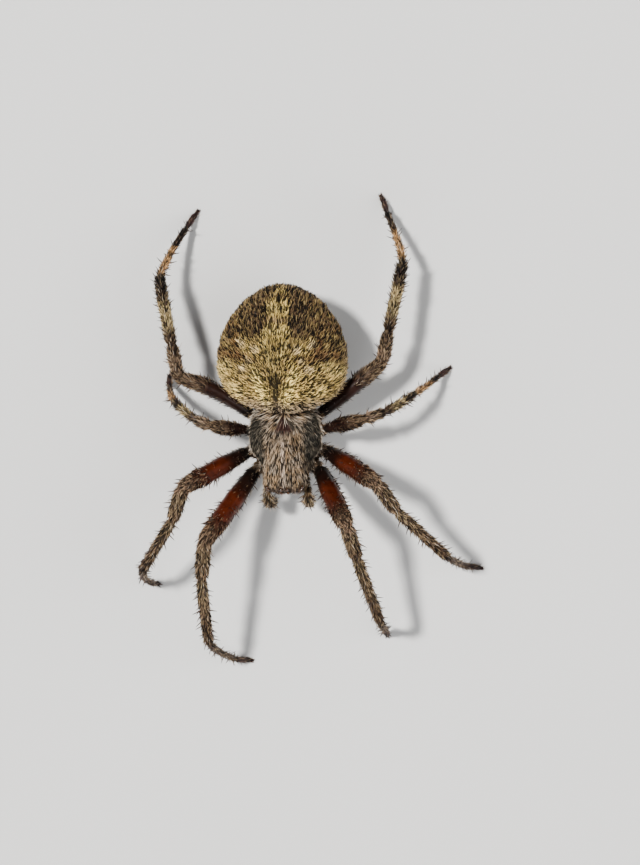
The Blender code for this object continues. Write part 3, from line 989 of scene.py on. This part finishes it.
def hair_tree():
    """Hairs scattered over a skin by its own density, length, lift and lie, as real triangles."""
    tree = bpy.data.node_groups.new("hair_field", "GeometryNodeTree")
    face = tree.interface
    face.new_socket("Skin", in_out="INPUT", socket_type="NodeSocketGeometry")
    for kind, names in HAIR_INPUTS.items():
        for name in names:
            face.new_socket(name, in_out="INPUT", socket_type=f"NodeSocket{kind}")
    face.new_socket("Hair", in_out="OUTPUT", socket_type="NodeSocketGeometry")
    g = Graph(tree)
    given = g.node("NodeGroupInput")

    def own(name, kind="FLOAT"):
        return g.node("GeometryNodeInputNamedAttribute", {"data_type": kind}, {"Name": name})

    def stored(geometry, name, value, kind="FLOAT"):
        sockets = {"Geometry": geometry, "Name": name, "Value": value}
        setting = {"data_type": kind, "domain": "POINT"}
        return g.node("GeometryNodeStoreNamedAttribute", setting, sockets)

    def chance(low, high, offset, kind="FLOAT"):
        first, output = (2, 1) if kind == "FLOAT" else (0, 0)
        ends = {first: low, first + 1: high, "Seed": given["Seed"] + offset}
        return g.node("FunctionNodeRandomValue", {"data_type": kind}, ends, output)

    spots = {
        "Mesh": given["Skin"],
        "Distance Min": given["Spacing"],
        "Density Max": given["Most per square mm"],
        "Density Factor": own("density"),
        "Seed": given["Seed"],
    }
    poisson = {"distribute_method": "POISSON"}
    scattered = g.node("GeometryNodeDistributePointsOnFaces", poisson, spots)
    normal = scattered["Normal"]
    points = stored(scattered, "root", g.node("GeometryNodeInputPosition"), "FLOAT_VECTOR")
    points = stored(points, "tint", chance(0.0, 1.0, 1))
    lift = own("lift")
    wander = g.scaled(chance((-1,) * 3, (1,) * 3, 2, "FLOAT_VECTOR"), given["Stray"])
    flat = g.scaled(own("lie", "FLOAT_VECTOR"), lift.math("COSINE", lift))
    raised = g.scaled(normal, lift.math("SINE", lift))
    heading = g.vector("ADD", g.vector("ADD", flat, raised), wander)
    align = "FunctionNodeAlignRotationToVector"
    turned = g.node(align, {"axis": "Z"}, {"Vector": heading, "Factor": 1.0})
    bent_up = {"Rotation": turned, "Vector": normal, "Factor": 1.0}
    turned = g.node(align, {"axis": "X", "pivot_axis": "Z"}, bent_up)
    about_itself = {"Axis": (0, 0, 1), "Angle": chance(-1.0, 1.0, 4) * given["Twist"]}
    twist = g.node("FunctionNodeAxisAngleToRotation", sockets=about_itself)
    local = {"rotation_space": "LOCAL"}
    turned = g.node("FunctionNodeRotateRotation", local, {0: turned, 1: twist})
    # one hair a millimetre long, bowed along +X
    bow = g.node("ShaderNodeCombineXYZ", sockets={0: given["Bend"], 1: 0.0, 2: 0.5})
    arc = {"Start": (0, 0, 0), "Middle": bow, "End": (0, 0, 1), "Resolution": given["Joints"]}
    share = g.node("GeometryNodeSplineParameter")
    line = stored(g.node("GeometryNodeCurveQuadraticBezier", sockets=arc), "grow", share)
    circle = {"Resolution": HAIR_SIDES, "Radius": given["Slenderness"] * 0.5}
    ring = g.node("GeometryNodeCurvePrimitiveCircle", sockets=circle)
    ring = stored(ring, "round", g.node("GeometryNodeSplineParameter"))
    taper = 1 - share**2.4
    swept = {"Curve": line, "Profile Curve": ring, "Scale": taper, "Fill Caps": True}
    hair = g.node("GeometryNodeCurveToMesh", sockets=swept)
    hair = g.node("GeometryNodeMergeByDistance", sockets={"Geometry": hair, "Distance": 0.001})
    uneven = given["Uneven length"]
    size = own("length") * chance(1 - uneven, 1 + uneven, 3)
    field = {"Points": points, "Instance": hair, "Rotation": turned, "Scale": size}
    placed = g.node("GeometryNodeInstanceOnPoints", sockets=field)
    real = g.node("GeometryNodeRealizeInstances", sockets={"Geometry": placed})
    real = g.node("GeometryNodeSetShadeSmooth", sockets={0: real})
    real = g.node("GeometryNodeSetMaterial", sockets={0: real, "Material": given["Finish"]})
    g.node("NodeGroupOutput", sockets={"Hair": real})
    return tree


HAIR_TREE = hair_tree()
PATCH = 0.003


def unwrapped(roots, group):
    """Where hairs are rooted, laid out flat: along the part's own axis, and round it."""
    if group in LINES:
        along, _, turn, _ = limb_place(roots, group)
        return np.stack([along / 6, turn], axis=1)
    across, along, up = body_place(roots, group)
    if group == "jaw":
        # its axis stands upright
        across, along, up = np.abs(across) - 0.6, up / 5, -along - 3.6
    elif group == "cephalothorax":
        along, up = (along + 4.2) / 7.6, up - 4.4
    return np.stack([along, np.arctan2(across, up) / (2 * math.pi) + 0.5], axis=1)


def hair_over(base, name, group, hair_material, density, hair_length, lift, lie, settings):
    """Hair on a surface: fields over its points say how dense, long and raised it is."""
    fields = {"density": density, "length": hair_length, "lift": lift, "lie": lie}
    for field, values in fields.items():
        write_attribute(base.data, field, values)
    modifier = base.modifiers.new("hair", "NODES")
    modifier.node_group = HAIR_TREE
    given = {**settings, "Finish": hair_material}
    for item in HAIR_TREE.interface.items_tree:
        if item.in_out == "INPUT" and item.name in given:
            modifier[item.identifier] = given[item.name]
    mesh = evaluated_mesh(base)
    base.modifiers.remove(modifier)
    for field in fields:
        base.data.attributes.remove(base.data.attributes[field])
    mesh.name = name
    return dressed(name, mesh, group)


def hair_piece(name, group, hair_material, density, *fields):
    """Hair on one part of the skin."""
    own = np.where(skin_owner == GROUPS.index(group), density, 0.0)
    return hair_over(skin, name, group, hair_material, own, *fields)


HAIR_SLOTS = {"leg": "tibia", "jaw": "chelicera"}


def dressed(name, mesh, group):
    """Gives a hair mesh its own coordinates: a small patch for each hair at its root's place."""
    roots = read(mesh.attributes["root"].data, "vector")
    own = [read(mesh.attributes[field].data, "value", 1) - 0.5 for field in ("grow", "round")]
    places = read(mesh.vertices, "co")
    places[:, 2] = np.maximum(places[:, 2], 0.0)
    set_points(mesh, places)
    chart = np.clip(unwrapped(roots, group), 2 * PATCH, 1 - 2 * PATCH) + np.stack(own, 1) * PATCH
    corners = read(mesh.loops, "vertex_index", 1, int)
    layer = mesh.uv_layers.new(name="OFBake")
    layer.uv.foreach_set("vector", np.ascontiguousarray(chart[corners], np.float32).ravel())
    if group in LINES:
        along, facing, _, _ = limb_place(roots, group)
        number = np.full(len(roots), number_of(group))
        write_attribute(mesh, "limb", np.stack([along, facing, number], axis=1))
    for attribute in ("round", "density", "length", "lift", "lie"):
        mesh.attributes.remove(mesh.attributes[attribute])
    kind = group.split("_")[0]
    return finish(shown(name, mesh), HAIR_SLOTS.get(kind, kind))


def tangent(headings):
    """Headings laid flat on the skin."""
    return unit(headings - skin_normals * (headings * skin_normals).sum(axis=1, keepdims=True))


def everywhere(value):
    return np.full(len(skin_points), float(value))


def abdomen_coat():
    """Hairs lie back from the waist, outwards in front, and down at the rear end."""
    across, along, up = body_place(skin_points, "abdomen")
    up_facing = skin_normals[:, 2]
    away = skin_points - (ABDOMEN_FRONT + np.array([0, -0.3, 0.8]))
    outward = np.sign(across)[:, None] * ABDOMEN_ACROSS * step(np.abs(across), 0.0, 1.2)[:, None]
    outward = outward * (1 - step(along, 0.45, 0.75))[:, None]
    down = np.array([0, 0, -1.0]) * step(along, 0.7, 1.0)[:, None]
    lie = tangent(unit(away) + 0.7 * outward + 0.35 * ABDOMEN_ALONG + 1.4 * down)
    haired = step(up, -3.2, -2.6) + step(along, 0.06, 0.12)
    density = np.clip(haired, 0, 1) * (1 - 0.45 * step(-up_facing, 0.0, 0.7))
    density *= step(along, -0.03, 0.02)
    wedge = falloff(across, 0.22) * step(along, 0.32, 0.2) * step(up_facing, 0, 0.3)
    density *= 1 - 0.85 * wedge
    size = 0.35 + 0.05 * step(along, 0.6, 0.95)
    lift = 0.44 + 0.12 * step(along, 0.7, 1.0)
    hairs = coat_finish("abdomen_hair", abdomen_markings, GOLD_GLINT, 0.34, clumped=0.5)
    for side, sign in SIDES.items():
        half = density * (across * sign >= 0)
        hair_piece(
            f"coat_abdomen_{side}", "abdomen", hairs, half, size, lift, lie,
            strands(150.0, 0.05, 0.165, 11 + sign, bend=0.32, stray=0.36, twist=2.4),
        )
    golden = plain_hair("long_golden_hair", TAN, PALE_STRAW)
    hair_piece(
        "long_hair_abdomen", "abdomen", golden, density, everywhere(0.55), lift + 0.45,
        lie, strands(1.5, 0.2, 0.04, 21, joints=3),
    )


def front_coat(long):
    """Hairs lie forwards from a pole above the waist, and part beside the bare wedge behind."""
    x, y, z = body_place(skin_points, "cephalothorax")
    pole = MIDDLE + np.array([0, 2.35, 4.6])
    spread = unit(skin_points - pole)
    parting = np.sign(x) * step(np.abs(x), 0.0, 0.3) * step(y, 0.7, 1.5)
    lie = spread * np.array([1, 1, 0.3]) + np.array([0, -0.8, 0])
    lie[:, 0] += 1.3 * parting
    lie = tangent(lie)
    top = step(skin_normals[:, 2], -0.1, 0.4)
    wedge = step(0.80 - np.abs(x) - 0.50 * (y - 0.7), 0.0, 0.15) * step(y, 0.7, 0.95)
    face = step(y, -3.0, -3.8)
    density = np.maximum(0.35 + 0.65 * top, face) * (1 - 0.92 * wedge)
    eye_gaps = [length(skin_points - middle)[:, 0] - radius for middle, radius in EYES]
    eye_gap = np.min(eye_gaps, axis=0)
    density *= step(eye_gap, 0.02, 0.14)
    side = step(np.abs(x), 1.2, 1.8) * step(y, -2.6, -1.2)
    size = 0.44 - 0.12 * face - 0.14 * side + 0.25 * step(y, 1.3, 2.3)
    size *= 0.4 + 0.6 * step(eye_gap, 0.1, 0.5)
    lift = 0.26 + 0.22 * face
    hairs = coat_finish("front_body_hair", front_markings, GREY_GLINT, 0.26)
    hair_piece(
        "coat_cephalothorax", "cephalothorax", hairs, density, size, lift, lie,
        strands(210.0, 0.045, 0.10, 31, stray=0.13),
    )
    hair_piece(
        "face_hair_cephalothorax", "cephalothorax", hairs,
        step(-y, 2.9, 3.5) * step(eye_gap, 0.02, 0.06), everywhere(0.19), everywhere(0.42), lie,
        strands(300.0, 0.04, 0.10, 34, stray=0.24),
    )
    edge = falloff(z - 4.22, 0.2) * step(np.abs(x), 1.7, 2.0) * step(y, -2.4, -1.6)
    hair_piece(
        "edge_hair_cephalothorax", "cephalothorax", long, edge, everywhere(0.30),
        everywhere(0.55), tangent(lie + np.array([0, -1.5, 0.4])),
        strands(140.0, 0.05, 0.13, 33),
    )
    waist = step(y, 1.2, 2.3)
    sparse = density * (0.10 + waist * 1.3) * (1 - 0.5 * side) * step(skin_normals[:, 2], -0.3, 0.2)
    hair_piece(
        "long_hair_cephalothorax", "cephalothorax", long, sparse,
        size * (1.3 + 0.2 * waist), lift + 0.1, lie,
        strands(22.0, 0.10, 0.055, 32, stray=0.10, joints=3),
    )


def spread_over(own, values):
    """Values for some of the skin's points, with nothing at the others."""
    total = np.zeros((len(own), *np.shape(values)[1:]))
    total[own] = values
    return total


# How far along each leg the thigh's bare back ends: coxa 0 to 1, thigh 1 to 2
HAIRY_FROM = {1: 1.76, 2: 1.74, 3: 1.30, 4: 1.64}
LEG_HAIR_PLACES = [0, 1, 1.6, 2, 4, 4.3, 6]
LEG_HAIR_LENGTHS = [0.28, 0.28, 0.32, 0.34, 0.35, 0.30, 0.23]


def limb_coat(group, hairs, long, spines):
    """Short hairs that lie towards the tip, longer ones that stand out, and spines."""
    own = skin_owner == GROUPS.index(group)
    along, facing, _, heading = limb_place(skin_points[own], group)
    number = number_of(group)
    lie = tangent(spread_over(own, heading))
    top = step(facing, -0.5, 0.1)
    if number == PALP_NUMBER:
        density = np.interp(along, [0, 1, 6], [0.3, 0.8, 1.0])
        size = np.interp(along, [0, 3, 5, 6], [0.30, 0.36, 0.36, 0.24])
        lift = everywhere(0.60)
    else:
        hairy = HAIRY_FROM[number]
        bare = np.interp(along, [1.0, 1.15, hairy - 0.1, hairy + 0.1], [0.3, 1, 1, 0]) * top
        density = np.interp(along, [0, 1, 2, 4, 5, 6], [0.6, 0.5, 1.0, 1.0, 0.9, 0.8])
        density = density * (1 - 0.94 * bare)
        size = np.interp(along, LEG_HAIR_PLACES, LEG_HAIR_LENGTHS)
        lift = everywhere(0.34) + spread_over(own, 0.2 * falloff(along - 1.4, 0.5))
        if number > 2:
            lift += spread_over(own, 0.25 * falloff(along - 3.8, 0.35))
    hair_piece(
        f"coat_{group}", group, hairs, spread_over(own, density), spread_over(own, size),
        lift, lie, strands(150.0, 0.05, 0.13, 41, stray=0.26),
    )
    fringe = np.interp(along, [0, 1, 6], [0.5, 1.0, 0.6]) * (1 - 0.85 * (density < 0.2))
    fringe = spread_over(own, 0.3 * fringe if number < PALP_NUMBER else fringe)
    hair_piece(
        f"long_hair_{group}", group, long, fringe, spread_over(own, size * 1.7),
        everywhere(0.8), lie,
        strands(26.0, 0.10, 0.045, 43, joints=3),
    )
    if number == PALP_NUMBER:
        where = step(along, 2.5, 3.2)
        sized = np.full(own.sum(), 0.55)
    else:
        where = np.interp(along, [1.1, 1.4, 2, 3, 4, 5, 5.7], [0.2, 0.4, 0.5, 0.7, 1, 1, 0.2])
        sized = np.interp(along, [1, 2, 3, 4, 5, 6], [0.5, 0.56, 0.58, 0.58, 0.48, 0.36])
    hair_piece(
        f"spines_{group}", group, spines, spread_over(own, where), spread_over(own, sized),
        everywhere(1.05), lie,
        strands(8.0, 0.22, 0.15, 47 + number, bend=0.06, stray=0.22, joints=4),
    )


abdomen_coat()
long_hair = plain_hair("long_pale_hair", TAN, PALE)
front_coat(long_hair)
limb_hair = coat_finish("limb_hair", limb_markings, TAN_GLINT, 0.36, clumped=0.25)
spine_finish = plain_hair("spine", *SPINE_BROWNS, 0.35)
for limb_name in LEGS + PALPS:
    limb_coat(limb_name, limb_hair, long_hair, spine_finish)

finish(skin, "cephalothorax", *FLESH)

# ---------------------------------------------------------------- eyes, jaws, fangs and claws


def joined(name, parts, material):
    """One smooth piece from several lists of points and faces."""
    points, faces, count = [], [], 0
    for shell, squares in parts:
        points.append(np.asarray(shell))
        faces.extend([[i + count for i in square] for square in squares])
        count += len(shell)
    mesh = new_mesh(name, np.concatenate(points), faces)
    shape = bmesh.new()
    shape.from_mesh(mesh)
    bmesh.ops.remove_doubles(shape, verts=shape.verts, dist=1e-5)
    bmesh.ops.recalc_face_normals(shape, faces=shape.faces)
    shape.to_mesh(mesh)
    shape.free()
    mesh.shade_smooth()
    mesh.materials.append(material)
    return shown(name, mesh)


def horn(path, girths, sides=10, steps=4):
    """A curved round horn through the given places, closed at both ends."""
    path, girths = np.asarray(path, float), np.asarray(girths, float)
    share = np.linspace(0, len(path) - 1, (len(path) - 1) * steps + 1)
    known = np.arange(len(path))
    middle = np.stack([np.interp(share, known, path[:, i]) for i in range(3)], axis=1)
    for _ in range(steps):
        middle[1:-1] = (middle[:-2] + 2 * middle[1:-1] + middle[2:]) / 4
    thick = np.interp(share, known, girths) / 2
    heading = unit(np.gradient(middle, axis=0))
    level = unit(np.cross(heading, np.array([0.13, 0.21, 0.97])))
    lift = np.cross(heading, level)
    turns = np.arange(sides) * 2 * math.pi / sides
    rings = [
        at + r * (np.cos(turns)[:, None] * a + np.sin(turns)[:, None] * b)
        for at, r, a, b in zip(middle, thick, level, lift)
    ]
    points = np.concatenate([*rings, middle[:1], middle[-1:]])
    faces = []
    for i in range(len(rings) - 1):
        for j in range(sides):
            k = (j + 1) % sides
            faces.append([i * sides + j, i * sides + k, (i + 1) * sides + k, (i + 1) * sides + j])
    first, last, base = len(points) - 2, len(points) - 1, (len(rings) - 1) * sides
    for j in range(sides):
        k = (j + 1) % sides
        faces.append([k, j, first])
        faces.append([base + j, base + k, last])
    return points, faces


eye_balls = [ball(middle, (radius,) * 3, 28, 18) for middle, radius in EYES]
finish(joined("eyes", eye_balls, eye_finish()), "eye", *MEDIAN_EYES, *LATERAL_EYES)


def jaw_hair(jaw_object, side):
    """Thin bristles down the front of a jaw, longest near the fang."""
    places = read(jaw_object.data.vertices, "co")
    normals = read(jaw_object.data.vertices, "normal")
    _, _, z = body_place(places, "jaw")
    front = step(-normals[:, 1], 0.0, 0.5) * step(z, 2.2, 2.5)
    down = np.array([0, -0.2, -1.0])
    lie = unit(down - normals * (normals @ down)[:, None])
    hair_over(
        jaw_object, f"jaw_hair_{side}", "jaw", long_hair, front,
        0.40 - 0.15 * step(z, 2.4, 3.4), np.full(len(z), 0.38), lie,
        strands(45.0, 0.09, 0.07, 71, joints=3),
    )


JAW_VOXEL = 0.05
JAW_ROUNDS = 14
JAW_INSET = 0.02
# a fang from the jaw to its point, measured as the palps' lines are, and its thickness
FANG_LINE = [
    (0.60, -3.66, 2.30),
    (0.56, -3.64, 2.00),
    (0.42, -3.56, 1.86),
    (0.24, -3.44, 1.90),
    (0.12, -3.34, 2.02),
]
FANG_GIRTHS = (0.30, 0.26, 0.19, 0.12, 0.02)
# a claw from inside the leg's tip to its point: aside, outwards and up, and its thickness
CLAW_LINE = [(0.05, 0.0, 0.0), (0.10, 0.16, 0.03), (0.13, 0.30, -0.06), (0.14, 0.34, -0.15)]
CLAW_GIRTHS = (0.10, 0.075, 0.045, 0.012)
CLAW_FLOOR = 0.004
CLAW_ROOT_BACK = 0.16
CLAW_ROOT_RISE = 0.05
HORN = horn_finish()
JAW = jaw_finish()

for side, sign in SIDES.items():
    shell, triangles = solid(f"chelicera_{side}")
    shell = grown(shell, triangles, -JAW_INSET)
    jaw = remeshed(f"jaw_{side}", shell, triangles.tolist(), JAW_VOXEL)
    jaw_edges = read(jaw.edges, "vertices", 2, int)
    set_points(jaw, relaxed(read(jaw.vertices, "co"), jaw_edges, JAW_ROUNDS))
    jaw.shade_smooth()
    jaw.materials.append(JAW)
    jaw_object = shown(f"jaw_{side}", jaw)
    jaw_hair(jaw_object, side)
    finish(jaw_object, "chelicera", f"chelicera_{side}")
    fang = horn(MIDDLE + np.array(FANG_LINE) * (sign, 1, 1), FANG_GIRTHS)
    finish(joined(f"fang_{side}", [fang], HORN), "chelicera")

for leg in LEGS:
    line = LINES[leg]
    heading = unit(line[-1] - line[-2])
    level = unit(np.array([heading[0], heading[1], 0.0]))
    aside = np.array([-level[1], level[0], 0.0])
    root = line[-1] - heading * CLAW_ROOT_BACK + np.array([0, 0, CLAW_ROOT_RISE])
    claws = []
    for turn in (-1, 1):
        path = [root + aside * turn * x + level * y + (0, 0, z) for x, y, z in CLAW_LINE]
        points, faces = horn(path, CLAW_GIRTHS, sides=8)
        points[:, 2] = np.maximum(points[:, 2], CLAW_FLOOR)
        claws.append((points, faces))
    finish(joined(f"claws_{leg}", claws, HORN), "tarsus")

# ---------------------------------------------------------------- floor, light and camera

FLOOR_METRES = 6.0
bpy.ops.mesh.primitive_plane_add(size=FLOOR_METRES)
floor = bpy.context.object
floor.name = "floor"
floor.data.materials.append(floor_finish())

world = bpy.data.worlds.new("studio")
world.use_nodes = True
room = Graph(world.node_tree)
sky_height = room.node("ShaderNodeSeparateXYZ", sockets={0: room.node("ShaderNodeTexCoord")})[2]
glow = room.node(
    "ShaderNodeMapRange",
    {"interpolation_type": "SMOOTHSTEP"},
    {"Value": sky_height, "From Min": 0.0, "From Max": 0.45, "To Min": 0.85, "To Max": 0.08},
)
background = world.node_tree.nodes["Background"]
background.inputs["Color"].default_value = (0.95, 0.96, 1.0, 1)
room.feed(background.inputs["Strength"], glow)
bpy.context.scene.world = world
bpy.context.scene.view_settings.look = "AgX - Medium High Contrast"


def soft_light(name, place, spread, power, colour=(1, 1, 1)):
    """A far light that shines from this direction, its softness a cone of so many degrees."""
    light = bpy.data.lights.new(name, "SUN")
    light.angle = math.radians(spread)
    light.energy = power
    light.color = colour
    obj = bpy.data.objects.new(name, light)
    bpy.context.scene.collection.objects.link(obj)
    obj.location = Vector(MIDDLE + np.array(place)) * MM
    obj.rotation_euler = Vector(place).to_track_quat("Z", "Y").to_euler()


soft_light("key", (-78, 60, 255), 7, 4.3, (1.0, 0.98, 0.95))
soft_light("fill", (240, -60, 200), 60, 2.0)
soft_light("front", (-60, -260, 120), 50, 0.9)

# in mm: the camera stands high over the back and looks at the middle of the spread
LOOK_AT = MIDDLE + np.array([2.58, 0.50, 4.0])
STAND = MIDDLE + np.array([39.15, 18.35, 254.0])
PICTURE_UP = Vector((0.026, 1, 0))

camera = bpy.data.cameras.new("camera")
camera.sensor_fit = "VERTICAL"
camera.sensor_height = 36
camera.lens = 140
camera.clip_start = 0.005
camera.clip_end = 20
camera_object = bpy.data.objects.new("camera", camera)
bpy.context.scene.collection.objects.link(camera_object)
back = Vector(STAND - LOOK_AT).normalized()
right = PICTURE_UP.cross(back).normalized()
camera_object.matrix_world = Matrix.Translation(Vector(STAND) * MM) @ Matrix(
    (right, back.cross(right), back)
).transposed().to_4x4()
bpy.context.scene.camera = camera_object
